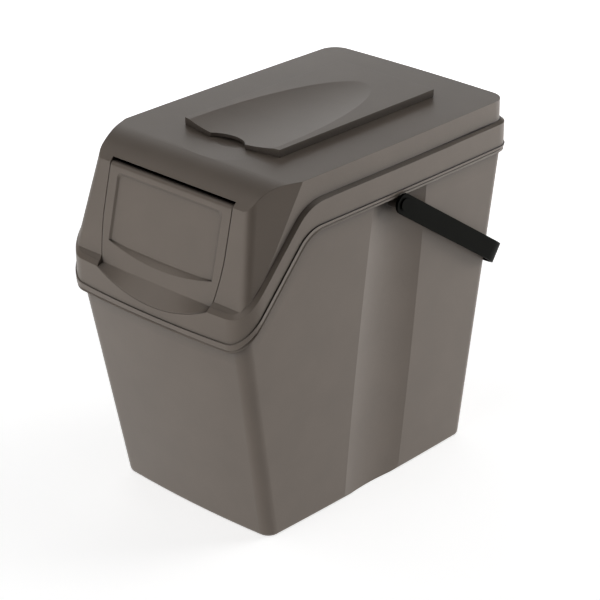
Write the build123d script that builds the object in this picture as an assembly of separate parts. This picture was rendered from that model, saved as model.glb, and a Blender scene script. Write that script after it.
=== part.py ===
from build123d import *
import os
from math import atan2, cos, degrees, radians, sin, sqrt, tan

# Recycling bin of about 25 litres, moulded in polypropylene.
# A tapered bucket carries a lift-off hood with a flap in front and a small hatch on top.
# A flat strap handle swings on two buttons at the sides.
# The frame is in millimetres: +Z up, the front faces -Y, the base stands on Z = 0, and
# X = 0, Y = 0 is the middle of the lid's outline.

# Lid outline, taken at the skirt band
band_half_width = 130.6
band_length = 416.0
side_bow = 1.8
front_bow = 4.9
rear_bow = 3.0
band_front_radius = 27.0
band_rear_radius = 23.0
bead_proud = 1.2
lid_wall = 2.4

# Rim line, which drops from the back to the front in an S
rim_rear_height = 347.4
rim_drop = 105.6
line_slope = 1.1
rim_slope_lead = 2.2
rim_low_radius = 10.0
rim_high_radius = 42.0
lid_seat_gap = 0.3

# Upper edge of the bead that runs round the foot of the band
bead_rear_height = 3.8
bead_front_height = 5.8
bead_slope_lead = 3.9

# Shoulder of the lid, where the hood stands on the band
band_rear_height = 29.1
band_front_height = 34.8
shoulder_slope_lead = -1.5
shoulder_low_radius = 14.0
shoulder_high_radius = 50.0
shoulder_web = 3.4
ledge_rise = 3.0
ledge_run = 4.0

# Hood
hood_rise = 26.1
hood_inset = 4.4
hood_draft_angle = 0.3
hood_front_room = 2.5
hood_front_radius = 24.0
hood_rear_radius = 21.0
roll_drop = 21.0
crease_setback = 28.35
front_lean_angle = 13.25
roll_run = 43.6
nose_half_width = 110.0
facet_top_run = 57.9
facet_low_run = 26.2
facet_low_drop = 30.8
nose_edge_radius = 13.0

# Bucket
base_half_width = 109.8
base_setback = 54.1
base_rear_setback = 42.3
base_front_bow = 4.7
base_side_bow = 2.0
base_rear_bow = 1.0
base_corner_radius = 14.0
base_edge_radius = 4.0
base_edge_steps = 3
body_side_inset = 5.4
body_front_inset = 7.5
body_rear_inset = 3.7
body_corner_radius = 15.5
bucket_wall = 2.4
floor_thickness = 3.0
foot_recess = 3.0
foot_width = 12.0
flange_thickness = 2.6
upstand_height = 7.0
upstand_side_gap = 0.5

# Carry handle and its buttons
strap_width = 22.6
strap_thickness = 3.0
strap_side_gap = 0.6
strap_corner_radius = 34.0
pivot_setback = 185.15
pivot_drop = 10.8
hang_angle = 34.0
grip_wall_gap = 0.6
boss_radius = 7.2
button_head_radius = 6.4
button_head_height = 1.2
journal_radius = 4.4
shank_radius = 3.0
shank_depth = 9.0
swing_gap = 0.4

# Channel down each side of the bucket
channel_base_width = 90.0
channel_top_width = 84.6
channel_base_depth = 4.4
channel_top_depth = 8.0
channel_base_lead = 16.2
channel_top_lag = 5.9

# Front flap
flap_half_top = 87.3
flap_half_low = 84.5
flap_half_bottom = 79.0
flap_straight_drop = 50.6
flap_low_drop = 78.6
flap_axis_drop = 4.4
flap_gap = 0.9
flap_arc_gap = 0.4
flap_wall = 2.2
flap_barrel_radius = 5.8
flap_corner_radius = 2.5
flap_pin_radius = 2.5
flap_pin_length = 4.6
flap_ear_thickness = 3.4
flap_ear_rim = 2.6
opening_head_rise = 6.6
lip_drop = 18.6
lip_wall = 2.6
lip_overlap = 1.0

# Recessed panel of the flap
panel_half_width = 75.4
panel_top_drop = 8.5
panel_bottom_drop = 78.6
panel_depth = 1.9
panel_corner_radius = 5.0
panel_ramp_height = 10.6
panel_draft = 2.4

# Top hatch
hatch_half_width = 67.8
hatch_setback = 88.2
hatch_rear_margin = 58.4
hatch_front_bow = 6.5
hatch_height = 8.4
hatch_wall = 1.9
hatch_seat_gap = 0.2
scoop_half_width = 60.5
scoop_end_margin = 36.0
scoop_depth = 5.0
notch_half_width = 25.3
notch_depth = 12.0

# Hinge of the hatch
hatch_pin_radius = 1.5
hatch_pin_length = 3.6
hatch_axis_inset = 2.3
hatch_ear_rim = 0.8
hatch_ear_thickness = 4.0
hatch_ear_gap = 0.35

# Drop opening in the lid's top, under the hatch, and the finger dimple before it
drop_half_width = 52.0
drop_front_margin = 28.0
drop_rear_margin = 22.0
drop_corner_radius = 12.0
dimple_half_width = 26.0
dimple_depth = 2.8
dimple_lag = 13.5
dish_half_width = 52.0
dish_depth = 0.9

# Clearances and overruns
running_gap = 0.06
seat_gap = 0.02
overrun = 10.0
far = 600.0

# Heights that follow from the rim's rear height
rim_front_height = rim_rear_height - rim_drop
shoulder_rear_height = rim_rear_height + band_rear_height
shoulder_front_height = rim_front_height + band_front_height
hood_top_height = shoulder_rear_height + hood_rise
crease_height = hood_top_height - roll_drop
flap_axis_height = crease_height - flap_axis_drop
opening_head_height = crease_height + opening_head_rise
pivot_height = rim_rear_height - pivot_drop

# Places that follow from the lid's outline
overall_length = band_length + front_bow + rear_bow + 2 * bead_proud
band_front = bead_proud + front_bow - overall_length / 2
band_rear = band_front + band_length
band_bows = (front_bow, side_bow, rear_bow)
crease_y = band_front + crease_setback
lean = tan(radians(front_lean_angle))
base_front = band_front + base_setback
base_rear = band_rear - base_rear_setback
body_half_width = band_half_width - body_side_inset
body_front = band_front + body_front_inset
body_rear = band_rear - body_rear_inset
body_front_fall = (body_front - base_front) / rim_front_height
hatch_front = crease_y + hatch_setback
hatch_rear = band_rear - hatch_rear_margin
pivot_y = band_rear - pivot_setback

# S lines: where each starts, its two levels and the radii of its two bends
rim_line = (band_front - rim_slope_lead, rim_front_height, rim_rear_height,
            rim_low_radius, rim_high_radius)
bead_line = (band_front - bead_slope_lead, rim_front_height + bead_front_height,
             rim_rear_height + bead_rear_height, rim_low_radius, rim_high_radius)
shoulder_line = (band_front - shoulder_slope_lead, shoulder_front_height, shoulder_rear_height,
                 shoulder_low_radius, shoulder_high_radius)


def share_between(low, high, share):
    """Value at a share of the way from low to high."""
    return low + (high - low) * share


def corner_points(plate, half_width, y):
    """The two sharp corners of an outline that lie at a given y."""
    return [point for point in plate.vertices()
            if abs(point.Y - y) < seat_gap and abs(abs(point.X) - half_width) < seat_gap]


def outline(half_width, front, rear, radii, bows, height):
    """Face of a rounded rectangle with bowed sides, level at a height."""
    front_radius, rear_radius = radii
    front_bulge, side_bulge, rear_bulge = bows
    middle = (front + rear) / 2
    edges = [
        ThreePointArc((-half_width, front), (0, front - front_bulge), (half_width, front)),
        ThreePointArc((half_width, front), (half_width + side_bulge, middle), (half_width, rear)),
        ThreePointArc((half_width, rear), (0, rear + rear_bulge), (-half_width, rear)),
        ThreePointArc((-half_width, rear), (-half_width - side_bulge, middle), (-half_width, front)),
    ]
    plate = make_face(edges)
    plate = fillet(corner_points(plate, half_width, front), front_radius)
    plate = fillet(corner_points(plate, half_width, rear), rear_radius)
    return Pos(0, 0, height) * plate


def below(line, lift):
    """Everything under an S line that is moved square to itself by a lift."""
    low_y, low_z, high_z, low_radius, high_radius = line
    shift = lift * tan(atan2(line_slope, 1) / 2)
    low = (low_y - shift, low_z + lift)
    high = (low_y + (high_z - low_z) / line_slope - shift, high_z + lift)
    start = (-far, low[1])
    end = (far, high[1])
    path = FilletPolyline(start, low, high, end, radius=[low_radius - lift, high_radius + lift])
    close = Polyline(end, (far, -far), (-far, -far), start)
    return extrude(Plane.YZ * make_face([*path.edges(), *close.edges()]), far, both=True)


def band_prism(inset):
    """Upright prism of the band's outline, drawn in by an inset."""
    radii = (band_front_radius - inset, band_rear_radius - inset)
    base = outline(band_half_width - inset, band_front + inset, band_rear - inset, radii,
                   band_bows, rim_front_height - overrun)
    return extrude(base, hood_top_height - rim_front_height)


def front_plane_y(height):
    """Y of the hood's leaning front face at a height."""
    return crease_y - (crease_height - height) * lean


def hood_profile():
    """Side view of the hood: leaning front, rolled top edge, flat top."""
    foot = rim_front_height
    crease = (crease_y, crease_height)
    toe = (front_plane_y(foot), foot)
    back_foot = (band_rear + far, foot)
    back_top = (band_rear + far, hood_top_height)
    roll_start = (crease_y + roll_run, hood_top_height)
    edges = [
        Line(back_top, roll_start),
        TangentArc(roll_start, crease, tangent=(-1, 0)),
        Line(crease, toe),
        Line(toe, back_foot),
        Line(back_foot, back_top),
    ]
    return make_face([piece.edge() for piece in edges])


def hood_block(inset):
    """Hood as a solid block with its rolled front, drawn in by an inset."""
    side = hood_profile()
    if inset:
        side = offset(side, -inset, kind=Kind.INTERSECTION)
    block = extrude(Plane.YZ * side, far, both=True)
    for side_sign in (-1, 1):
        block -= facet_cutter(side_sign, inset)
    if not inset:
        block = fillet(nose_edges(block), nose_edge_radius)
    sections = []
    for height in (rim_front_height, hood_top_height):
        spread = (shoulder_rear_height - height) * tan(radians(hood_draft_angle)) - inset
        sections.append(outline(
            band_half_width - hood_inset + spread, band_front + hood_front_room - spread,
            band_rear - hood_inset + spread,
            (hood_front_radius - inset, hood_rear_radius - inset), band_bows, height))
    return block & loft(sections, ruled=True)


def facet_plane(side_sign, inset):
    """Plane of the facet beside the front, with its normal pointing outwards."""
    draft = tan(radians(hood_draft_angle))
    half_top = band_half_width - hood_inset - (hood_top_height - shoulder_rear_height) * draft
    low_height = crease_height - facet_low_drop
    half_low = band_half_width - hood_inset + (shoulder_rear_height - low_height) * draft
    nose = Vector(nose_half_width * side_sign, crease_y, crease_height)
    top = Vector((half_top + side_bow / 2) * side_sign, crease_y + facet_top_run, hood_top_height)
    low = Vector((half_low + side_bow / 2) * side_sign, crease_y + facet_low_run, low_height)
    normal = (top - nose).cross(low - nose).normalized()
    if normal.X * side_sign < 0:
        normal = normal * -1
    return Plane(origin=nose - normal * inset, x_dir=(top - nose), z_dir=normal)


def facet_cutter(side_sign, inset):
    """Block that cuts the hood away outside a facet."""
    return extrude(facet_plane(side_sign, inset) * Rectangle(far, far), far)


def nose_edges(block):
    """The two edges between the leaning front face and the facets."""
    front = Plane(origin=(0, crease_y, crease_height), x_dir=(1, 0, 0),
                  z_dir=(0, -cos(radians(front_lean_angle)), sin(radians(front_lean_angle))))
    found = []
    for side_sign in (-1, 1):
        facet = facet_plane(side_sign, 0)
        for edge in block.edges():
            reach = [abs((edge.position_at(end) - plane.origin).dot(plane.z_dir))
                     for end in (0, 1) for plane in (front, facet)]
            if max(reach) < seat_gap:
                found.append(edge)
    return found


def channel(side_sign, inset):
    """Cutter for the hollow down one side, as a leaning cone of wide circles."""
    rows = (
        (0, base_half_width + base_side_bow, channel_base_width, channel_base_depth,
         pivot_y - channel_base_lead),
        (rim_rear_height, body_half_width + side_bow, channel_top_width, channel_top_depth,
         pivot_y + channel_top_lag),
    )
    sections = []
    for height, wall_x, width, depth, center_y in rows:
        radius = (width ** 2 / 4 + depth ** 2) / (2 * depth)
        center_x = side_sign * (wall_x - depth + radius)
        sections.append(Pos(center_x, center_y, height) * Circle(radius + inset))
    return loft(sections, ruled=True)


def body_section(inset, height):
    """Level section of the bucket's body at a height, drawn in by an inset."""
    share = height / rim_rear_height
    bows = (share_between(base_front_bow, front_bow, share),
            share_between(base_side_bow, side_bow, share),
            share_between(base_rear_bow, rear_bow, share))
    radius = share_between(base_corner_radius, body_corner_radius, share) - inset
    return outline(
        share_between(base_half_width, body_half_width, share) - inset,
        base_front + body_front_fall * height + inset,
        share_between(base_rear, body_rear, share) - inset,
        (radius, radius), bows, height)


def body_block(inset, foot):
    """Tapered body of the bucket as a block, drawn in by an inset, from a foot height up."""
    top = rim_rear_height + 2 * upstand_height
    return loft([body_section(inset, foot), body_section(inset, top)], ruled=True)


def base_edge():
    """Rounded foot of the body, in a few straight steps round a quarter circle."""
    sections = []
    for step in range(base_edge_steps + 1):
        turn = radians(90 * step / base_edge_steps)
        sections.append(body_section(base_edge_radius * (1 - sin(turn)),
                                     base_edge_radius * (1 - cos(turn))))
    return loft(sections, ruled=True)


def pivot_bosses():
    """Round bosses in the side channels that carry the handle's buttons."""
    bosses = []
    for side_sign in (-1, 1):
        start = Plane(origin=(side_sign * boss_face_x, pivot_y, pivot_height),
                      z_dir=(-side_sign, 0, 0))
        bosses.append(extrude(start * Circle(boss_radius), boss_face_x - body_half_width + overrun))
    return bosses


strap_inner_x = band_half_width + side_bow + bead_proud + strap_side_gap
strap_outer_x = strap_inner_x + strap_thickness
boss_face_x = strap_inner_x - swing_gap
button_seat_x = strap_outer_x + swing_gap


def bucket():
    """Tapered bucket with its S-shaped rim, side channels and pivot bosses."""
    outer = body_block(0, base_edge_radius) + base_edge()
    for side_sign in (-1, 1):
        outer -= channel(side_sign, 0)
    upstand = outer & below(rim_line, upstand_height) & band_prism(lid_wall + upstand_side_gap)
    outer = (outer & below(rim_line, 0)) + upstand
    flange = (band_prism(0) & below(rim_line, 0)) - below(rim_line, -flange_thickness)
    shell = outer + flange
    for boss in pivot_bosses():
        shell += boss
    cavity = body_block(bucket_wall, foot_recess + floor_thickness)
    for side_sign in (-1, 1):
        cavity -= channel(side_sign, bucket_wall)
    shell -= cavity
    recess = outline(base_half_width - foot_width, base_front + foot_width,
                     base_rear - foot_width, (base_corner_radius, base_corner_radius),
                     (base_front_bow, base_side_bow, base_rear_bow), 0)
    shell -= extrude(recess, foot_recess)
    for side_sign in (-1, 1):
        mouth = Plane(origin=(side_sign * boss_face_x, pivot_y, pivot_height),
                      z_dir=(-side_sign, 0, 0))
        shell -= extrude(mouth * Circle(shank_radius), shank_depth)
    return shell


def flap_face_frame():
    """Frame on the flap's outer face: x across, y up the slope, z outwards, origin at the axis."""
    normal = Vector(0, -cos(radians(front_lean_angle)), sin(radians(front_lean_angle)))
    origin = Vector(0, flap_axis_y, flap_axis_height) + normal * flap_barrel_radius
    return Plane(origin=origin, x_dir=(1, 0, 0), z_dir=normal)


flap_axis_y = front_plane_y(flap_axis_height) + flap_barrel_radius / cos(radians(front_lean_angle))


def front_window(grow, arc_grow, head):
    """Outline of the flap or its opening, seen from the front, as a deep prism."""
    top_half = flap_half_top + grow
    straight_foot = crease_height - flap_straight_drop
    low_half = flap_half_low + grow
    low = crease_height - flap_low_drop
    tip_half = flap_half_bottom + grow
    tip = shoulder_front_height
    edges = [
        Line((-top_half, head), (top_half, head)),
        Line((top_half, head), (top_half, straight_foot)),
        ThreePointArc((top_half, straight_foot), (low_half, low), (tip_half, tip)),
        ThreePointArc((tip_half, tip), (0, tip - lip_drop - arc_grow), (-tip_half, tip)),
        ThreePointArc((-tip_half, tip), (-low_half, low), (-top_half, straight_foot)),
        Line((-top_half, straight_foot), (-top_half, head)),
    ]
    face = make_face([piece.edge() for piece in edges])
    tips = [point for point in face.vertices() if abs(point.Y - tip) < seat_gap]
    face = fillet(tips, flap_corner_radius + grow)
    return extrude(Plane.XZ * face, hood_top_height) & keep_front()


def keep_front():
    """Block before the middle of the roll, where the front opening is cut."""
    depth = overall_length / 2 + crease_y + roll_run / 2 + overrun
    center_y = -overall_length / 2 - overrun + depth / 2
    return Pos(0, center_y, rim_rear_height) * Box(2 * band_half_width, depth, hood_top_height)


def band_block():
    """Band under the hood as a block, with the sloping ledge round its upper edge."""
    block = band_prism(0) & below(shoulder_line, ledge_rise)
    top = block.faces().filter_by(lambda face: face.normal_at().Z > line_slope / 2)
    rim = [edge for edge in block.edges()
           if sum(1 for face in top if edge in face.edges()) == 1]
    return chamfer(rim, ledge_rise, ledge_run, reference=None)


def lid():
    """Hood, skirt band and shoulder in one moulding, with openings and hinge ears."""
    under_shoulder = below(shoulder_line, ledge_rise - shoulder_web)
    band = band_block() - below(rim_line, lid_seat_gap)
    bead = band_prism(-bead_proud) & below(bead_line, lid_seat_gap)
    bead -= below(rim_line, lid_seat_gap)
    hood = hood_block(0) - under_shoulder
    shell = band + bead + hood
    shell -= hood_block(lid_wall) - under_shoulder
    shell -= band_prism(lid_wall) & under_shoulder
    shell += lid_bulge()
    shell -= front_window(flap_gap, flap_arc_gap, opening_head_height)
    shell -= drop_cutter()
    shell -= hollow_ball(dimple_y, dimple_half_width, dimple_depth, 0)
    shell -= hollow_ball(dish_y, dish_half_width, dish_depth, 0)
    for side_sign in (-1, 1):
        shell += flap_ear(side_sign) & hood_block(0)
        shell += hatch_ear(side_sign)
    for side_sign in (-1, 1):
        shell -= flap_bore(side_sign)
        shell -= hatch_bore(side_sign)
    return shell


def x_cylinder(side_sign, start_x, length, radius, y, z):
    """Round bar along X that grows towards the middle when its length is negative."""
    start = Plane(origin=(side_sign * start_x, y, z), z_dir=(side_sign, 0, 0))
    return extrude(start * Circle(radius), length)


flap_ear_x = flap_half_top + flap_gap


def flap_ear(side_sign):
    """Ear behind the hood's front that holds one pin of the flap."""
    radius = flap_pin_radius + flap_ear_rim
    disc = x_cylinder(side_sign, flap_ear_x, flap_ear_thickness, radius,
                      flap_axis_y, flap_axis_height)
    web = flap_face_frame() * Box(2 * flap_ear_x + 2 * flap_ear_thickness, 2 * radius,
                                  2 * flap_barrel_radius)
    slab = x_cylinder(side_sign, flap_ear_x, flap_ear_thickness, far / 2,
                      flap_axis_y, flap_axis_height)
    return disc + (web & slab)


def flap_bore(side_sign):
    """Blind bore for one pin of the flap."""
    return x_cylinder(side_sign, flap_ear_x - overrun / 2, flap_ear_thickness + overrun,
                      flap_pin_radius + running_gap, flap_axis_y, flap_axis_height)


hatch_axis_y = hatch_rear - hatch_axis_inset
hatch_axis_z = hood_top_height + hatch_seat_gap + hatch_axis_inset
hatch_ear_x = hatch_half_width - hatch_wall - hatch_ear_gap - hatch_ear_thickness


def hatch_ear(side_sign):
    """Small ear on the lid's top that holds one pin of the hatch."""
    radius = hatch_pin_radius + hatch_ear_rim
    disc = x_cylinder(side_sign, hatch_ear_x, hatch_ear_thickness, radius,
                      hatch_axis_y, hatch_axis_z)
    foot_height = hatch_axis_z - hood_top_height + lid_wall / 2
    foot = Pos(side_sign * (hatch_ear_x + hatch_ear_thickness / 2), hatch_axis_y,
               hatch_axis_z - foot_height / 2) * Box(hatch_ear_thickness, 2 * radius, foot_height)
    return disc + foot


def hatch_bore(side_sign):
    """Bore for one pin of the hatch."""
    return x_cylinder(side_sign, hatch_ear_x - overrun / 4, hatch_ear_thickness + overrun / 2,
                      hatch_pin_radius + running_gap, hatch_axis_y, hatch_axis_z)


def drop_cutter():
    """Rounded opening in the lid's top, under the hatch."""
    front = hatch_front + drop_front_margin
    rear = hatch_rear - drop_rear_margin
    face = RectangleRounded(2 * drop_half_width, rear - front, drop_corner_radius)
    floor = hood_top_height - lid_wall - overrun / 4
    return Pos(0, (front + rear) / 2, floor) * extrude(face, lid_wall + overrun / 2)


dish_y = hatch_front
dimple_y = hatch_front - hatch_front_bow + dimple_lag


def hollow_ball(center_y, half_width, depth, grow):
    """Large ball that presses a shallow round hollow into the lid's top."""
    radius = (half_width ** 2 + depth ** 2) / (2 * depth)
    return Pos(0, center_y, hood_top_height - depth + radius) * Sphere(radius + grow)


def lid_bulge():
    """Underside of the dimple, which keeps the wall even."""
    slab_height = lid_wall + dimple_depth
    slab = Pos(0, dimple_y, hood_top_height - lid_wall / 2 - slab_height / 2)
    span = 2 * dish_half_width
    block = slab * Box(span, span, slab_height)
    return hollow_ball(dimple_y, dimple_half_width, dimple_depth, lid_wall) & block


def flap_plate():
    """Leaning plate of the flap, from the hinge down to the head of the lip."""
    slope = Vector(0, -sin(radians(front_lean_angle)), -cos(radians(front_lean_angle)))
    plate_in = Vector(0, cos(radians(front_lean_angle)), -sin(radians(front_lean_angle)))
    top = Vector(0, flap_axis_y, flap_axis_height) - plate_in * flap_barrel_radius
    length = (top.Z - lip_head_height + lip_overlap) / cos(radians(front_lean_angle))
    foot = top + slope * length
    corners = [top, foot, foot + plate_in * flap_wall, top + plate_in * flap_wall]
    side = Plane.YZ * Polygon(*[(point.Y, point.Z) for point in corners], align=None)
    return extrude(side, flap_half_top, both=True)


lip_head_height = shoulder_front_height + ledge_rise


def flap_lip():
    """Lip that runs from a straight head out to an arc on the band's bowed face."""
    def band_y(x):
        return band_front - front_bow * (1 - (x / band_half_width) ** 2)
    head_y = front_plane_y(lip_head_height)
    tip = shoulder_front_height
    head_line = Line((-flap_half_bottom, head_y, lip_head_height),
                     (flap_half_bottom, head_y, lip_head_height))
    foot_arc = ThreePointArc((-flap_half_bottom, band_y(flap_half_bottom), tip),
                             (0, band_y(0), tip - lip_drop),
                             (flap_half_bottom, band_y(flap_half_bottom), tip))
    skin = Face.make_surface_from_curves(head_line.edge(), foot_arc.edge())
    return Solid.extrude(skin, Vector(0, lip_wall, 0))


panel_slope = cos(radians(front_lean_angle))
panel_top = (crease_height - panel_top_drop - flap_axis_height) / panel_slope
panel_foot = (crease_height - panel_bottom_drop - flap_axis_height) / panel_slope


def panel_tool():
    """Shallow recess of the flap: straight foot at its depth, bowed foot at the face."""
    faces = []
    for inset, drop, level in ((0, panel_ramp_height, 0), (panel_draft, panel_draft, -panel_depth)):
        half = panel_half_width - inset
        top = panel_top - inset
        edges = [
            Line((-half, panel_foot), (-half, top)),
            Line((-half, top), (half, top)),
            Line((half, top), (half, panel_foot)),
            ThreePointArc((half, panel_foot), (0, panel_foot - drop), (-half, panel_foot)),
        ]
        face = make_face([piece.edge() for piece in edges])
        upper = [point for point in face.vertices() if point.Y > panel_foot + seat_gap]
        face = fillet(upper, panel_corner_radius)
        faces.append(flap_face_frame() * Pos(0, 0, level) * face)
    return loft(faces, ruled=True)


def panel_back():
    """Pad behind the recess, which keeps the flap's wall even."""
    pad = Box(2 * panel_half_width + flap_wall, panel_top - panel_foot + flap_wall, panel_depth)
    middle = Pos(0, (panel_top + panel_foot) / 2, -flap_wall - panel_depth / 2)
    return flap_face_frame() * middle * pad


def front_flap():
    """Flap with its hinge barrel, recessed panel, flush lip and two stub pins."""
    plate = flap_plate() + flap_lip() + panel_back() - panel_tool()
    barrel = x_cylinder(1, -flap_half_top, 2 * flap_half_top, flap_barrel_radius,
                        flap_axis_y, flap_axis_height)
    body = (plate + barrel) & front_window(0, 0, flap_axis_height + 2 * flap_barrel_radius)
    for side_sign in (-1, 1):
        body += x_cylinder(side_sign, flap_half_top - overrun, overrun + flap_pin_length,
                           flap_pin_radius, flap_axis_y, flap_axis_height)
    return body


def scoop_tool(inset):
    """Long shallow hollow of the hatch, swept about a far axis, made deeper by an inset."""
    cross = (scoop_half_width ** 2 + scoop_depth ** 2) / (2 * scoop_depth)
    scoop_length = hatch_rear - scoop_end_margin - hatch_front
    along = (scoop_length ** 2 + scoop_depth ** 2) / (2 * scoop_depth)
    top = hood_top_height + hatch_seat_gap + hatch_height
    low = top - scoop_depth
    reach = 2 * scoop_half_width
    drop = sqrt((cross + inset) ** 2 - reach ** 2)
    edge_z = low + cross - drop
    front = hatch_front
    edges = [
        ThreePointArc((-reach, edge_z), (0, low - inset), (reach, edge_z)),
        Line((reach, edge_z), (-reach, edge_z)),
    ]
    face = Plane(origin=(0, front, 0), x_dir=(1, 0, 0), z_dir=(0, -1, 0)) * make_face(edges)
    axis = Axis((0, front, low + along), (1, 0, 0))
    swing = 2 * scoop_length / along
    turned = face.rotate(axis, -degrees(swing))
    return revolve(turned, axis, 2 * degrees(swing))


def hatch_plan(inset):
    """Plan outline of the hatch, drawn in by an inset, with its front bowed forwards."""
    half = hatch_half_width - inset
    front = hatch_front + inset
    rear = hatch_rear - inset
    edges = [
        ThreePointArc((-half, front), (0, front - hatch_front_bow), (half, front)),
        Line((half, front), (half, rear)),
        Line((half, rear), (-half, rear)),
        Line((-half, rear), (-half, front)),
    ]
    return make_face([piece.edge() for piece in edges])


def notch_disc(grow):
    """Round cutter of the finger notch in the hatch's front edge."""
    radius = (notch_half_width ** 2 + notch_depth ** 2) / (2 * notch_depth)
    center_y = hatch_front - hatch_front_bow + notch_depth - radius
    return Pos(0, center_y, hood_top_height - overrun) * extrude(Circle(radius + grow), 3 * overrun)


def top_hatch():
    """Hatch plate: a thin shell with a scoop, a finger notch and two stub pins."""
    floor = hood_top_height + hatch_seat_gap
    block = Pos(0, 0, floor) * extrude(hatch_plan(0), hatch_height)
    rear_foot = [edge for edge in block.edges()
                 if abs(edge.center().Y - hatch_rear) < seat_gap
                 and abs(edge.center().Z - floor) < seat_gap]
    block = fillet(rear_foot, hatch_axis_inset)
    block -= scoop_tool(0)
    hollow = Pos(0, 0, floor - overrun) * extrude(hatch_plan(hatch_wall),
                                                  overrun + hatch_height - hatch_wall)
    hollow = hollow & under_scoop()
    hollow -= notch_disc(hatch_wall)
    block -= hollow
    block -= notch_disc(0)
    for side_sign in (-1, 1):
        slot_x = side_sign * (hatch_ear_x + hatch_ear_thickness / 2)
        slot = Pos(slot_x, hatch_rear, floor) * Box(
            hatch_ear_thickness + 2 * hatch_ear_gap, 4 * hatch_axis_inset,
            2 * (hatch_height - hatch_wall))
        block -= slot
    for side_sign in (-1, 1):
        block += x_cylinder(side_sign, hatch_half_width - hatch_wall / 2 - hatch_pin_length,
                            hatch_pin_length, hatch_pin_radius, hatch_axis_y, hatch_axis_z)
    return block


def under_scoop():
    """Space under the scoop's sheet."""
    span = 2 * (hatch_rear - hatch_front)
    slab = Pos(0, (hatch_front + hatch_rear) / 2, hood_top_height) * Box(span, span, span)
    return slab - scoop_tool(hatch_wall)


def grip_reach():
    """Distance from the pivot to the crossbar's inner face, where it hangs on the rear wall."""
    across = cos(radians(hang_angle))
    down = sin(radians(hang_angle))
    fall = (body_rear - base_rear) / rim_rear_height
    half = strap_width / 2
    wall = base_rear + rear_bow + fall * (pivot_height - half * across) + grip_wall_gap
    return (wall - pivot_y + half * down) / (across + fall * down)


def carry_handle():
    """Flat strap bent to a U, with an eye in the round end of each arm."""
    reach = grip_reach()
    end = strap_width / 2
    outer = RectangleRounded(2 * strap_outer_x, 2 * (reach + strap_thickness), strap_corner_radius)
    inner = RectangleRounded(2 * strap_inner_x, 2 * reach, strap_corner_radius - strap_thickness)
    ring = extrude(outer - inner, strap_width / 2, both=True)
    keep = Pos(0, far / 2, 0) * Box(far, far, far)
    strap = ring & keep
    for side_sign in (-1, 1):
        strap += x_cylinder(side_sign, strap_inner_x, strap_thickness, end, 0, 0)
    for side_sign in (-1, 1):
        strap -= x_cylinder(side_sign, strap_inner_x - overrun, strap_thickness + 2 * overrun,
                            journal_radius + running_gap, 0, 0)
    return Pos(0, pivot_y, pivot_height) * Rot(-hang_angle, 0, 0) * strap


def pivot_button(side_sign):
    """Button pressed into a boss, with a journal for the strap's eye and a flat round head."""
    shank = x_cylinder(side_sign, boss_face_x - shank_depth, shank_depth + seat_gap,
                       shank_radius - seat_gap, pivot_y, pivot_height)
    journal = x_cylinder(side_sign, boss_face_x, button_seat_x - boss_face_x + seat_gap,
                         journal_radius, pivot_y, pivot_height)
    head = x_cylinder(side_sign, button_seat_x, button_head_height, button_head_radius,
                      pivot_y, pivot_height)
    return shank + journal + head


pieces = {
    "bucket": bucket(),
    "lid": lid(),
    "front_flap": front_flap(),
    "top_hatch": top_hatch(),
    "carry_handle": carry_handle(),
    "left_pivot_button": pivot_button(-1),
    "right_pivot_button": pivot_button(1),
}

os.makedirs("parts", exist_ok=True)
for name, piece in pieces.items():
    export_step(piece, f"parts/{name}.step")
    print(name, round(piece.volume))
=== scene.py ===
"""Looks, light and camera of a moulded recycling bin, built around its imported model."""
import logging
import math
from collections.abc import Sequence
from dataclasses import dataclass, field
from enum import Enum

import bpy
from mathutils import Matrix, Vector


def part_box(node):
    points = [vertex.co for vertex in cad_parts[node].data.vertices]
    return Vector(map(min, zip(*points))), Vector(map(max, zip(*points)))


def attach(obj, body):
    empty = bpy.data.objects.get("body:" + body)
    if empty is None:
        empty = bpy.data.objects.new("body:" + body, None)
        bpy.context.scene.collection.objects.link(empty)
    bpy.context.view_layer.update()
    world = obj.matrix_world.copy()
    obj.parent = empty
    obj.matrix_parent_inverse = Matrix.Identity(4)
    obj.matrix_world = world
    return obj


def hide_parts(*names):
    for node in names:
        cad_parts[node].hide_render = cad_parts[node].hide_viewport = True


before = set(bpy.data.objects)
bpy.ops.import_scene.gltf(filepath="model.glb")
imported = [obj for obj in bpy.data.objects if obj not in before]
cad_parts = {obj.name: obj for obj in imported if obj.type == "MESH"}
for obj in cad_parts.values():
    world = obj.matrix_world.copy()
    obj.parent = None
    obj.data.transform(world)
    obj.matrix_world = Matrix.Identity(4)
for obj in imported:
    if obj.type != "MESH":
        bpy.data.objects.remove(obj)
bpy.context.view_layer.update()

LOG = logging.getLogger("recycling_bin")
WHITE = (1.0, 1.0, 1.0, 1.0)

# Middle part of a noise's range, which is spread over a whole result.
NOISE_MIDDLE = (0.3, 0.7)

# Short step for finding a direction from an outline, in metres.
PROBE = 0.00001

Colour = tuple[float, float, float]
Place = tuple[float, float, float]
Limits = tuple[float, float]


def add_object(name: str, data: bpy.types.ID) -> bpy.types.Object:
    """Make an object and link it to the scene.

    Args:
        name: Name of the object.
        data: Its mesh, lamp or camera data.

    Returns:
        The new object.
    """
    made = bpy.data.objects.new(name, data)
    bpy.context.scene.collection.objects.link(made)
    return made


def stand_off(thing: bpy.types.Object, target: Place, azimuth: float, elevation: float,
              distance: float) -> None:
    """Stand a lamp or camera away from a target and turn it to face the target.

    Args:
        thing: Lamp or camera to place.
        target: Point that it faces, in metres.
        azimuth: Turn from the front toward the right side, in degrees.
        elevation: Rise above the level, in degrees.
        distance: How far it stands from the target, in metres.
    """
    turn = math.radians(azimuth)
    rise = math.radians(elevation)
    out = Vector((math.sin(turn) * math.cos(rise), -math.cos(turn) * math.cos(rise),
                  math.sin(rise)))
    thing.location = Vector(target) + out * distance
    thing.rotation_euler = (-out).to_track_quat("-Z", "Y").to_euler()


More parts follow.
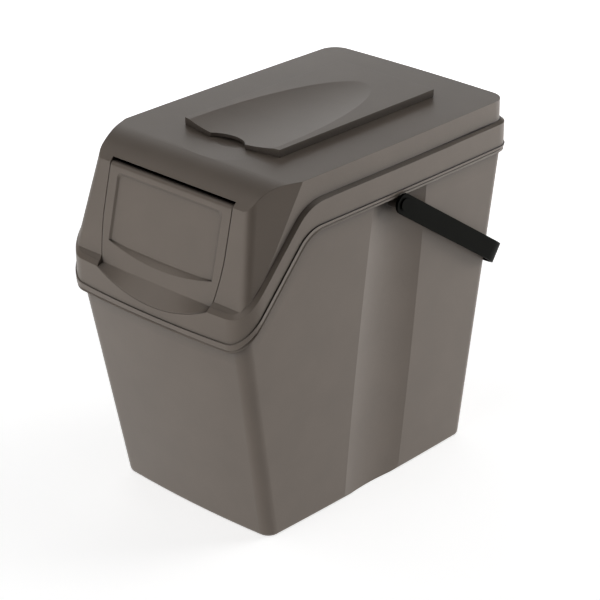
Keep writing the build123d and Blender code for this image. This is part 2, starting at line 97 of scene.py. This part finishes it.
class Socket(str, Enum):
    """Names of the shader sockets that the finishes set."""

    COLOR = "Base Color"
    ROUGHNESS = "Roughness"
    NORMAL = "Normal"
    SPECULAR = "Specular IOR Level"
    TINT = "Specular Tint"


class Ray(str, Enum):
    """Kinds of ray that the floor and the world treat apart."""

    CAMERA = "Is Camera Ray"
    GLOSSY = "Is Glossy Ray"
    TRANSMISSION = "Is Transmission Ray"


class Course(str, Enum):
    """How a mapped value runs from one end of its range to the other."""

    STRAIGHT = "LINEAR"
    SMOOTH = "SMOOTHSTEP"


class Pairing(str, Enum):
    """Ways to make one value of two."""

    PRODUCT = "MULTIPLY"
    LARGER = "MAXIMUM"


class NodeBoard:
    """Small helper that adds and joins the nodes of one material or world."""

    def __init__(self, owner: bpy.types.ID) -> None:
        """Start with no nodes.

        Args:
            owner: Material or world that the nodes belong to.
        """
        owner.use_nodes = True
        self.owner = owner
        self.tree = owner.node_tree
        self.tree.nodes.clear()

    def add(self, kind: str, **values: object) -> bpy.types.Node:
        """Add a node and set its plain properties.

        Args:
            kind: Node type, such as ShaderNodeTexNoise.
            **values: Properties of the node.

        Returns:
            The new node.
        """
        node = self.tree.nodes.new(kind)
        for key, value in values.items():
            setattr(node, key, value)
        return node

    def join(self, source: bpy.types.NodeSocket, target: bpy.types.NodeSocket) -> None:
        """Link one socket to another."""
        self.tree.links.new(source, target)

    def noise(self, scale: float, detail: float) -> bpy.types.NodeSocket:
        """Add object-space noise.

        Args:
            scale: Cells per metre.
            detail: Octaves.

        Returns:
            The noise value socket, from 0 to 1.
        """
        place = self.add("ShaderNodeTexCoord")
        node = self.add("ShaderNodeTexNoise")
        node.inputs["Scale"].default_value = scale
        node.inputs["Detail"].default_value = detail
        self.join(place.outputs["Object"], node.inputs["Vector"])
        return node.outputs["Fac"]

    def spread(self, value: bpy.types.NodeSocket, source: Limits, result: Limits,
               course: Course = Course.STRAIGHT) -> bpy.types.NodeSocket:
        """Map one range of a value to another.

        Args:
            value: Socket to map.
            source: Values that give the two ends of the result.
            result: The two ends of the result, which it never passes.
            course: How the result runs between its ends.

        Returns:
            The mapped socket.
        """
        node = self.add("ShaderNodeMapRange", interpolation_type=course.value)
        names = ("From Min", "From Max", "To Min", "To Max")
        for name, limit in zip(names, (*source, *result)):
            node.inputs[name].default_value = limit
        self.join(value, node.inputs["Value"])
        return node.outputs["Result"]

    def pair(self, pairing: Pairing, one: bpy.types.NodeSocket,
             other: bpy.types.NodeSocket) -> bpy.types.NodeSocket:
        """Make one value of two.

        Args:
            pairing: What is made of them.
            one: First value.
            other: Second value.

        Returns:
            The socket of the result.
        """
        node = self.add("ShaderNodeMath", operation=pairing.value)
        self.join(one, node.inputs[0])
        self.join(other, node.inputs[1])
        return node.outputs[0]

    def tint(self, share: bpy.types.NodeSocket, one: Colour, other: Colour) -> bpy.types.NodeSocket:
        """Mix two colours.

        Args:
            share: Socket from 0 to 1.
            one: Colour at 0, as linear red, green and blue.
            other: Colour at 1.

        Returns:
            The mixed colour socket.
        """
        node = self.add("ShaderNodeMix", data_type="RGBA")
        colour_a, colour_b = [item for item in node.inputs if item.type == "RGBA"]
        colour_a.default_value = (*one, 1.0)
        colour_b.default_value = (*other, 1.0)
        self.join(share, node.inputs["Factor"])
        return [item for item in node.outputs if item.type == "RGBA"][0]

    def bump(self, height: bpy.types.NodeSocket, depth: float, strength: float,
             under: bpy.types.NodeSocket) -> bpy.types.NodeSocket:
        """Lay a relief over a surface.

        Args:
            height: Socket with the height of the relief, from 0 to 1.
            depth: Depth at a height of 1, in metres.
            strength: Share of the relief that shows.
            under: Normal of the surface under it.

        Returns:
            The normal socket of the relief.
        """
        node = self.add("ShaderNodeBump")
        node.inputs["Distance"].default_value = depth
        node.inputs["Strength"].default_value = strength
        self.join(height, node.inputs["Height"])
        self.join(under, node.inputs["Normal"])
        return node.outputs["Normal"]

    def seen_by(self, *rays: Ray) -> bpy.types.NodeSocket:
        """Tell some kinds of ray from the others.

        Args:
            *rays: Kinds that count.

        Returns:
            A socket that is 1 for those kinds and 0 for every other.
        """
        path = self.add("ShaderNodeLightPath")
        seen = path.outputs[rays[0].value]
        for ray in rays[1:]:
            seen = self.pair(Pairing.LARGER, seen, path.outputs[ray.value])
        return seen


@dataclass(frozen=True)
class MouldedPlastic:
    """Finish of an injection-moulded plastic with a fine satin grain, and painted shade in its
    creases.

    Attributes:
        name: First part of its materials' names.
        colour: Linear red, green and blue.
        roughness: Middle of the roughness.
        specular: Strength of the sheen.
        sheen_tint: Colour of the sheen.
        roughness_spread: How far the grain takes the roughness up and down.
        mottle_share: How far the mottling takes the colour up and down, as a share.
        mottle_scale: Cells of the mottling per metre.
        mottle_detail: Octaves of the mottling.
        grain_scale: Cells of the grain per metre.
        grain_detail: Octaves of the grain.
        grain_depth: Depth of the grain, in metres.
        grain_strength: Share of the grain that shows.
        flow_scale: Cells per metre of the slow waves that moulding leaves.
        flow_detail: Octaves of those waves.
        flow_depth: Depth of those waves, in metres.
        flow_strength: Share of those waves that shows.
        edge_samples: Rays that find an edge.
        painted_shade_samples: Rays that find a crease for the painted shade.
        painted_shade_reach: How far away a surface still shuts a crease in for the painted shade,
            in metres.
        painted_shade_full_at: Openness at which a crease has its full painted shade.
    """

    name: str
    colour: Colour
    roughness: float
    specular: float
    sheen_tint: Colour = (1.0, 1.0, 1.0)
    roughness_spread: float = 0.04
    mottle_share: float = 0.05
    mottle_scale: float = 18.0
    mottle_detail: float = 4.0
    grain_scale: float = 1500.0
    grain_detail: float = 2.0
    grain_depth: float = 0.00004
    grain_strength: float = 0.3
    flow_scale: float = 7.0
    flow_detail: float = 1.0
    flow_depth: float = 0.0003
    flow_strength: float = 0.25
    edge_samples: int = 6
    painted_shade_samples: int = 8
    painted_shade_reach: float = 0.022
    painted_shade_full_at: float = 0.66

    def mottled(self, board: NodeBoard) -> bpy.types.NodeSocket:
        """Vary the colour softly from place to place.

        Args:
            board: Node board of the material.

        Returns:
            The colour socket.
        """
        dark = tuple(value * (1 - self.mottle_share) for value in self.colour)
        light = tuple(value * (1 + self.mottle_share) for value in self.colour)
        cells = board.noise(self.mottle_scale, self.mottle_detail)
        return board.tint(board.spread(cells, NOISE_MIDDLE, (0.0, 1.0)), dark, light)

    def paint_crease_shade(self, board: NodeBoard, colour: bpy.types.NodeSocket, shade: float,
                alone: bool) -> bpy.types.NodeSocket:
        """Paint shade into a colour where the surface is shut in, darkening creases and corners.

        Args:
            board: Node board of the material.
            colour: Colour in the open.
            shade: Share of the colour that is left under the full painted shade of a crease.
            alone: Whether only the piece itself shuts its creases in, and no other piece.

        Returns:
            The colour socket with its painted shade.
        """
        # Painted shade: ambient occlusion darkens the base colour itself in creases and gaps.
        openness = board.add("ShaderNodeAmbientOcclusion", samples=self.painted_shade_samples,
                             only_local=alone)
        openness.inputs["Distance"].default_value = self.painted_shade_reach
        share = board.spread(openness.outputs["AO"], (self.painted_shade_full_at, 1.0), (shade, 1.0))
        painted_shade_colour = board.add("ShaderNodeVectorMath", operation="SCALE")
        board.join(colour, painted_shade_colour.inputs[0])
        board.join(share, painted_shade_colour.inputs["Scale"])
        return painted_shade_colour.outputs["Vector"]

    def relief(self, board: NodeBoard, grain: bpy.types.NodeSocket,
               edge_round: float) -> bpy.types.NodeSocket:
        """Round the edges softly, and lay the moulding's slow waves and its grain over them.

        Args:
            board: Node board of the material.
            grain: Noise of the grain.
            edge_round: Radius of the edges, in metres.

        Returns:
            The normal socket.
        """
        edge = board.add("ShaderNodeBevel", samples=self.edge_samples)
        edge.inputs["Radius"].default_value = edge_round
        waves = board.noise(self.flow_scale, self.flow_detail)
        flow = board.bump(waves, self.flow_depth, self.flow_strength, edge.outputs["Normal"])
        return board.bump(grain, self.grain_depth, self.grain_strength, flow)

    def make(self, piece: str, edge_round: float, painted_shade_share: float,
             painted_shade_self_only: bool) -> bpy.types.Material:
        """Build the material for one sub-assembly.

        Args:
            piece: Name of the sub-assembly's first node.
            edge_round: Radius of its edges, in metres.
            painted_shade_share: Share of the colour that is left under the full painted shade of a
                crease.
            painted_shade_self_only: Whether only the piece itself shuts its creases in for the
                painted shade.

        Returns:
            The finished material.
        """
        board = NodeBoard(bpy.data.materials.new(f"{self.name}_{piece}"))
        shader = board.add("ShaderNodeBsdfPrincipled")
        output = board.add("ShaderNodeOutputMaterial")
        board.join(shader.outputs["BSDF"], output.inputs["Surface"])
        grain = board.noise(self.grain_scale, self.grain_detail)
        # The base colour carries painted shade in its creases.
        colour = self.paint_crease_shade(board, self.mottled(board), painted_shade_share, painted_shade_self_only)
        board.join(colour, shader.inputs[Socket.COLOR.value])
        least = self.roughness - self.roughness_spread
        most = self.roughness + self.roughness_spread
        roughness = board.spread(grain, NOISE_MIDDLE, (least, most))
        board.join(roughness, shader.inputs[Socket.ROUGHNESS.value])
        normal = self.relief(board, grain, edge_round)
        board.join(normal, shader.inputs[Socket.NORMAL.value])
        shader.inputs[Socket.SPECULAR.value].default_value = self.specular
        shader.inputs[Socket.TINT.value].default_value = (*self.sheen_tint, 1.0)
        return board.owner


BODY_PLASTIC = MouldedPlastic("taupe_plastic", colour=(0.182, 0.149, 0.122), roughness=0.42,
                              specular=0.5, sheen_tint=(1.0, 0.92, 0.85))
HANDLE_PLASTIC = MouldedPlastic("black_plastic", colour=(0.0088, 0.009, 0.0074), roughness=0.5,
                                specular=0.02, mottle_share=0.12)


@dataclass(frozen=True)
class SkirtOutline:
    """Plan outline of the skirt band: a rounded rectangle with bowed sides, in metres.

    Attributes:
        half_width: Half the width at the ends of the bowed sides.
        front: Y of the front at the ends of its bow.
        rear: Y of the rear at the ends of its bow.
        side_bow: How far each side bows out in its middle.
        front_bow: How far the front bows out in its middle.
        rear_bow: How far the rear bows out in its middle.
        front_radius: Radius of the front corners.
        rear_radius: Radius of the rear corners.
        bead_proud: How far the lid's bead stands out of this outline.
    """

    half_width: float
    front: float
    rear: float
    side_bow: float = 0.0018
    front_bow: float = 0.0049
    rear_bow: float = 0.003
    front_radius: float = 0.027
    rear_radius: float = 0.023
    bead_proud: float = 0.0012

    @classmethod
    def from_frame(cls) -> "SkirtOutline":
        """Work the outline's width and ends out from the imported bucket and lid.

        Returns:
            The outline.
        """
        bucket_low, bucket_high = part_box("bucket")
        lid_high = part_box("lid")[1]
        return cls(half_width=lid_high[0] - cls.bead_proud - cls.side_bow,
                   front=bucket_low[1] + cls.front_bow,
                   rear=bucket_high[1] - cls.rear_bow)

    def side_x(self, y: float) -> float:
        """X of the bowed side at a given y."""
        share = (2 * y - self.front - self.rear) / (self.rear - self.front)
        return self.half_width + self.side_bow * (1 - share * share)

    def end_y(self, x: float, end: float, bow: float) -> float:
        """Y of a bowed end at a given x."""
        return end + bow * (1 - (x / self.half_width) ** 2)

    def outside(self, x: float, y: float) -> float:
        """Tell how far a point lies outside the outline.

        Args:
            x: Place across the bin.
            y: Place along the bin.

        Returns:
            The distance in metres, negative inside.
        """
        across = abs(x)
        if y > (self.front + self.rear) / 2:
            end, bow, radius, sign = self.rear, self.rear_bow, self.rear_radius, 1
        else:
            end, bow, radius, sign = self.front, -self.front_bow, self.front_radius, -1
        middle_y = end - sign * radius
        middle_x = self.side_x(middle_y) - radius
        middle_y = self.end_y(middle_x, end, bow) - sign * radius
        if across > middle_x and sign * (y - middle_y) > 0:
            return math.hypot(across - middle_x, y - middle_y) - radius
        return max(across - self.side_x(y), sign * (y - self.end_y(across, end, bow)))

    def outward(self, x: float, y: float) -> Vector:
        """Level direction that leads straight out of the outline.

        Args:
            x: Place across the bin.
            y: Place along the bin.

        Returns:
            A unit vector with no height.
        """
        here = self.outside(x, y)
        return Vector((self.outside(x + PROBE, y) - here, self.outside(x, y + PROBE) - here,
                       0.0)).normalized()


@dataclass(frozen=True)
class RimLine:
    """S line of the rim, seen from the side: low front, rounded bends, high rear, in metres.

    Attributes:
        low_z: Height of the low front.
        high_z: Height of the high rear.
        low_y: Place where the slope would meet the low front without a bend.
        slope: Rise of the slope for each metre along the bin.
        low_radius: Radius of the lower bend.
        high_radius: Radius of the upper bend.
        upstand: How far the bucket's upstand reaches above the line.
        seat_gap: Gap between the line and the lid's bead.
    """

    low_z: float
    high_z: float
    low_y: float = -0.20925
    slope: float = 1.1
    low_radius: float = 0.01
    high_radius: float = 0.042
    upstand: float = 0.007
    seat_gap: float = 0.0003

    @classmethod
    def from_frame(cls) -> "RimLine":
        """Work the line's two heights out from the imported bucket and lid.

        Returns:
            The line.
        """
        return cls(low_z=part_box("lid")[0][2] - cls.seat_gap,
                   high_z=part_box("bucket")[1][2] - cls.upstand)

    def height(self, y: float, lift: float = 0.0) -> float:
        """Height of the line at a place along the bin.

        Args:
            y: Place along the bin.
            lift: How far the line is moved square to itself.

        Returns:
            The height in metres.
        """
        half_turn = math.tan(math.atan(self.slope) / 2)
        low_y = self.low_y - lift * half_turn
        high_y = low_y + (self.high_z - self.low_z) / self.slope
        low_radius = self.low_radius - lift
        high_radius = self.high_radius + lift
        low_run = low_radius * half_turn
        high_run = high_radius * half_turn
        lean = math.cos(math.atan(self.slope))
        if y < low_y - low_run:
            return self.low_z + lift
        if y < low_y + low_run * lean:
            reach = y - low_y + low_run
            return self.low_z + lift + low_radius - math.sqrt(low_radius ** 2 - reach ** 2)
        if y < high_y - high_run * lean:
            return self.low_z + lift + (y - low_y) * self.slope
        if y < high_y + high_run:
            reach = high_y + high_run - y
            return self.high_z + lift - high_radius + math.sqrt(high_radius ** 2 - reach ** 2)
        return self.high_z + lift

    def upward(self, y: float, lift: float = 0.0) -> Vector:
        """Direction square to the line, on its upper side.

        Args:
            y: Place along the bin.
            lift: How far the line is moved square to itself.

        Returns:
            A unit vector with no part across the bin.
        """
        rise = (self.height(y + PROBE, lift) - self.height(y - PROBE, lift)) / (2 * PROBE)
        return Vector((0.0, -rise, 1.0)).normalized()


@dataclass
class SubAssembly:
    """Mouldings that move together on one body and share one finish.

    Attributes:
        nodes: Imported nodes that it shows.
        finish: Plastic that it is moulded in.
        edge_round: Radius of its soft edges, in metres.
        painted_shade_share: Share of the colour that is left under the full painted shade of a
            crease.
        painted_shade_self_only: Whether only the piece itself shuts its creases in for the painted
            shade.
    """

    nodes: tuple[str, ...]
    finish: MouldedPlastic
    edge_round: float
    painted_shade_share: float = 0.15
    painted_shade_self_only: bool = False

    def shapes(self) -> list[bpy.types.Object]:
        """Give the objects that show the pieces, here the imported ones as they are."""
        return [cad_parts[node] for node in self.nodes]

    def build(self) -> list[bpy.types.Object]:
        """Build and dress every piece.

        Returns:
            The dressed objects.
        """
        material = self.finish.make(self.nodes[0], self.edge_round, self.painted_shade_share,
                                    self.painted_shade_self_only)
        pieces = self.shapes()
        for piece in pieces:
            if not piece.material_slots:
                piece.data.materials.append(material)
            for slot in piece.material_slots:
                slot.material = material
        return pieces


@dataclass
class Refined(SubAssembly):
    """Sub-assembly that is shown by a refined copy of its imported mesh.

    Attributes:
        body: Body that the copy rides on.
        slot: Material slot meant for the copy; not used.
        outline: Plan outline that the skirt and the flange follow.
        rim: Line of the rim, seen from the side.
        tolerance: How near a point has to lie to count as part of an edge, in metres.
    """

    body: str = "bucket_body"
    slot: str = "body_plastic"
    outline: SkirtOutline = field(default_factory=SkirtOutline.from_frame)
    rim: RimLine = field(default_factory=RimLine.from_frame)
    tolerance: float = 0.00025

    def shapes(self) -> list[bpy.types.Object]:
        """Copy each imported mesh, refine it and let it stand for its node.

        Returns:
            The refined objects.
        """
        pieces = []
        for node in self.nodes:
            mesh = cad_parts[node].data.copy()
            self.refine(mesh)
            piece = add_object(f"{node}_moulding", mesh)
            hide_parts(node)
            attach(piece, self.body)
            pieces.append(piece)
        return pieces

    def refine(self, mesh: bpy.types.Mesh) -> None:
        """Change a copied mesh, which each refined sub-assembly does in its own way.

        Args:
            mesh: Mesh to change.
        """
        raise NotImplementedError

    def ease_edge(self, mesh: bpy.types.Mesh, proud: float, lift: float, inward: float,
                  away: float) -> int:
        """Ease the outer edge along the parting line of lid and bucket.

        Args:
            mesh: Mesh to change.
            proud: How far the edge stands out of the skirt outline.
            lift: How far the edge lies above the rim line.
            inward: How far the edge is drawn in.
            away: How far the edge is moved square to the line, upwards if positive.

        Returns:
            The number of points moved.
        """
        moved = 0
        for point in mesh.vertices:
            x, y, z = point.co
            if abs(self.outline.outside(x, y) - proud) > self.tolerance:
                continue
            if abs(z - self.rim.height(y, lift)) > self.tolerance:
                continue
            point.co -= self.outline.outward(x, y) * inward
            point.co += self.rim.upward(y, lift) * away
            moved += 1
        return moved


@dataclass
class Bucket(Refined):
    """Tapered bucket, with the upper edge of its flange eased beside the parting line.

    Attributes:
        flange_draw: How far the flange's edge is drawn in, in metres.
        flange_fall: How far the flange's edge is moved down, in metres.
    """

    nodes: tuple[str, ...] = ("bucket",)
    finish: MouldedPlastic = BODY_PLASTIC
    edge_round: float = 0.0009
    painted_shade_self_only: bool = True
    flange_draw: float = 0.001
    flange_fall: float = 0.0006

    def refine(self, mesh: bpy.types.Mesh) -> None:
        """Ease the flange's upper outer edge.

        Args:
            mesh: Mesh to change.
        """
        moved = self.ease_edge(mesh, proud=0.0, lift=0.0, inward=self.flange_draw,
                               away=-self.flange_fall)
        LOG.info("eased %d points of the flange", moved)


@dataclass
class HoodLid(Refined):
    """Hood lid, with its bead eased beside the parting line and its window's head drawn down.

    Attributes:
        bead_draw: How far the bead's edge is drawn in, in metres.
        bead_rise: How far the bead's edge is moved up, in metres.
        head_height: Height of the window's head.
        head_half_width: Half the width in which the head's points lie.
        head_rear_y: Place that all of the head's points lie in front of.
        head_tolerance: How near to the head's height its points lie.
        head_forward: How far the head is drawn forward.
        head_down: How far the head is drawn down.
    """

    nodes: tuple[str, ...] = ("lid",)
    finish: MouldedPlastic = BODY_PLASTIC
    edge_round: float = 0.0007
    # The lid's creases and ledges get deep painted shade.
    painted_shade_share: float = 0.08
    painted_shade_self_only: bool = True
    body: str = "lid_body"
    bead_draw: float = 0.0008
    bead_rise: float = 0.0006
    head_height: float = 0.3882
    head_half_width: float = 0.0883
    head_rear_y: float = -0.16
    head_tolerance: float = 0.000125
    head_forward: float = 0.00171
    head_down: float = 0.00182

    def refine(self, mesh: bpy.types.Mesh) -> None:
        """Ease the bead's lower edge and draw down the head of the flap's window.

        Args:
            mesh: Mesh to change.
        """
        moved = self.ease_edge(mesh, proud=self.outline.bead_proud, lift=self.rim.seat_gap,
                               inward=self.bead_draw, away=self.bead_rise)
        LOG.info("eased %d points of the bead", moved)
        head = [point for point in mesh.vertices
                if abs(point.co.z - self.head_height) < self.head_tolerance
                and abs(point.co.x) < self.head_half_width and point.co.y < self.head_rear_y]
        for point in head:
            point.co += Vector((0.0, -self.head_forward, -self.head_down))
        LOG.info("drew down %d points of the window's head", len(head))


@dataclass
class FrontFlap(SubAssembly):
    """Throw-in flap, whose panel and lip have softly rounded steps."""

    nodes: tuple[str, ...] = ("front_flap",)
    finish: MouldedPlastic = BODY_PLASTIC
    edge_round: float = 0.0016


@dataclass
class TopHatch(SubAssembly):
    """Raised hatch with its scoop and finger notch."""

    nodes: tuple[str, ...] = ("top_hatch",)
    finish: MouldedPlastic = BODY_PLASTIC
    edge_round: float = 0.0006
    # Painted shade on the hatch where the lid shuts it in.
    painted_shade_share: float = 0.36


@dataclass
class CarryHandle(SubAssembly):
    """Strap handle with an eye at the end of each arm."""

    nodes: tuple[str, ...] = ("carry_handle",)
    finish: MouldedPlastic = HANDLE_PLASTIC
    edge_round: float = 0.0007


@dataclass
class PivotButtons(SubAssembly):
    """The two buttons on which the eyes of the handle turn."""

    nodes: tuple[str, ...] = ("left_pivot_button", "right_pivot_button")
    finish: MouldedPlastic = HANDLE_PLASTIC
    edge_round: float = 0.0005


@dataclass(frozen=True)
class Lamp:
    """One large soft lamp that faces the bin, placed by its direction.

    Attributes:
        name: Name of the lamp.
        azimuth: Turn from the front toward the right side, in degrees.
        elevation: Rise above the level, in degrees.
        power: Power in watts.
        side: Side of its square face, in metres.
        distance: How far it stands from its target, in metres.
        target: Point that it faces, in metres.
    """

    name: str
    azimuth: float
    elevation: float
    power: float
    side: float = 1.6
    distance: float = 3.0
    target: Place = (0.0, 0.0, 0.2)

    def hang(self) -> bpy.types.Object:
        """Create the lamp.

        Returns:
            The lamp's object.
        """
        data = bpy.data.lights.new(self.name, "AREA")
        data.shape = "SQUARE"
        data.size = self.side
        data.energy = self.power
        lamp = add_object(self.name, data)
        stand_off(lamp, self.target, self.azimuth, self.elevation, self.distance)
        return lamp


@dataclass
class Studio:
    """Pale floor, soft light and the camera at the photograph's angle, in metres and degrees.

    Attributes:
        floor_half: Half the side of the floor.
        floor_grey: How much light the floor gives back.
        floor_lift: Glow that the camera sees on the floor near the bin.
        shadow_reach: Distance from the bin's middle where the glow starts to rise.
        white_from: Distance from the bin's middle where the glow is full.
        camera_azimuth: Turn of the camera from the front toward the right side.
        camera_elevation: Rise of the camera above the level.
        camera_distance: How far the camera stands from its target.
        camera_target: Point that the camera faces.
        focal_px: Focal length in pixels of the photograph.
        picture_px: Width of the photograph in pixels.
        sensor_mm: Width of the camera's sensor in millimetres.
        sight: How far the camera sees.
    """

    floor_half: float = 6.0
    floor_grey: float = 0.86
    floor_lift: float = 0.7
    shadow_reach: float = 0.45
    white_from: float = 1.3
    camera_azimuth: float = 42.99
    camera_elevation: float = 25.57
    camera_distance: float = 2.41743
    camera_target: Place = (0.0, 0.01212, 0.1863)
    focal_px: float = 2203.75
    picture_px: float = 600.0
    sensor_mm: float = 36.0
    sight: float = 50.0

    def world(self) -> None:
        """Show white behind the scene, with no light of its own."""
        world = bpy.data.worlds.new("studio_world")
        bpy.context.scene.world = world
        board = NodeBoard(world)
        white = board.add("ShaderNodeBackground")
        white.inputs["Color"].default_value = WHITE
        board.join(board.seen_by(Ray.CAMERA, Ray.TRANSMISSION), white.inputs["Strength"])
        output = board.add("ShaderNodeOutputWorld")
        board.join(white.outputs[0], output.inputs["Surface"])

    def floor(self) -> bpy.types.Object:
        """Lay a wide pale floor.

        Returns:
            The floor's object.
        """
        half = self.floor_half
        mesh = bpy.data.meshes.new("floor")
        corners = [(-half, -half, 0.0), (half, -half, 0.0), (half, half, 0.0), (-half, half, 0.0)]
        mesh.from_pydata(corners, [], [(0, 1, 2, 3)])
        floor = add_object("floor", mesh)
        board = NodeBoard(bpy.data.materials.new("pale_floor"))
        matt = board.add("ShaderNodeBsdfDiffuse")
        grey = self.floor_grey
        matt.inputs["Color"].default_value = (grey, grey, grey, 1.0)
        glow = board.add("ShaderNodeEmission")
        board.join(self.floor_glow(board), glow.inputs["Strength"])
        both = board.add("ShaderNodeAddShader")
        board.join(matt.outputs[0], both.inputs[0])
        board.join(glow.outputs[0], both.inputs[1])
        output = board.add("ShaderNodeOutputMaterial")
        board.join(both.outputs[0], output.inputs["Surface"])
        mesh.materials.append(board.owner)
        return floor

    def floor_glow(self, board: NodeBoard) -> bpy.types.NodeSocket:
        """Glow of the floor: weaker for the camera near the bin, so that its shadow shows.

        Args:
            board: Node board of the floor's material.

        Returns:
            The strength socket.
        """
        place = board.add("ShaderNodeTexCoord")
        away = board.add("ShaderNodeVectorMath", operation="LENGTH")
        board.join(place.outputs["Object"], away.inputs[0])
        rising = board.spread(away.outputs["Value"], (self.shadow_reach, self.white_from),
                              (self.floor_lift, 1.0), Course.SMOOTH)
        direct = board.pair(Pairing.PRODUCT, board.seen_by(Ray.CAMERA), rising)
        mirrored = board.seen_by(Ray.GLOSSY, Ray.TRANSMISSION)
        return board.pair(Pairing.LARGER, direct, mirrored)

    def lamps(self) -> list[bpy.types.Object]:
        """Hang the soft lamps.

        Returns:
            The lamps' objects.
        """
        plan = [
            Lamp("front_lamp", azimuth=0.0, elevation=12.0, power=16.0),
            Lamp("front_left_lamp", azimuth=-30.0, elevation=3.0, power=16.8),
            Lamp("high_left_lamp", azimuth=-60.0, elevation=45.0, power=7.8),
            Lamp("right_lamp", azimuth=90.0, elevation=12.0, power=4.6),
            Lamp("back_right_lamp", azimuth=150.0, elevation=3.0, power=59.0),
            Lamp("high_right_lamp", azimuth=150.0, elevation=60.0, power=11.2),
            Lamp("back_left_lamp", azimuth=210.0, elevation=12.0, power=11.5),
            Lamp("high_back_lamp", azimuth=240.0, elevation=25.0, power=9.2),
            Lamp("top_lamp", azimuth=0.0, elevation=70.0, power=5.0),
        ]
        return [lamp.hang() for lamp in plan]

    def camera(self) -> bpy.types.Object:
        """Set the camera at the photograph's angle.

        Returns:
            The camera's object.
        """
        data = bpy.data.cameras.new("photo_camera")
        data.sensor_fit = "HORIZONTAL"
        data.sensor_width = self.sensor_mm
        data.lens = self.sensor_mm * self.focal_px / self.picture_px
        data.clip_end = self.sight
        camera = add_object("photo_camera", data)
        stand_off(camera, self.camera_target, self.camera_azimuth, self.camera_elevation,
                  self.camera_distance)
        bpy.context.scene.camera = camera
        return camera

    def build(self) -> None:
        """Put up the whole studio."""
        self.world()
        self.floor()
        self.lamps()
        self.camera()
        bpy.context.scene.view_settings.view_transform = "Standard"


def main() -> None:
    """Dress the bin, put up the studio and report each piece."""
    logging.basicConfig(level=logging.INFO, format="%(name)s: %(message)s")
    for unit in (Bucket(), HoodLid(), FrontFlap(), TopHatch(), CarryHandle(), PivotButtons()):
        for piece in unit.build():
            LOG.info("dressed %s: %d faces", piece.name, len(piece.data.polygons))
    Studio().build()


if __name__ == "__main__":
    main()
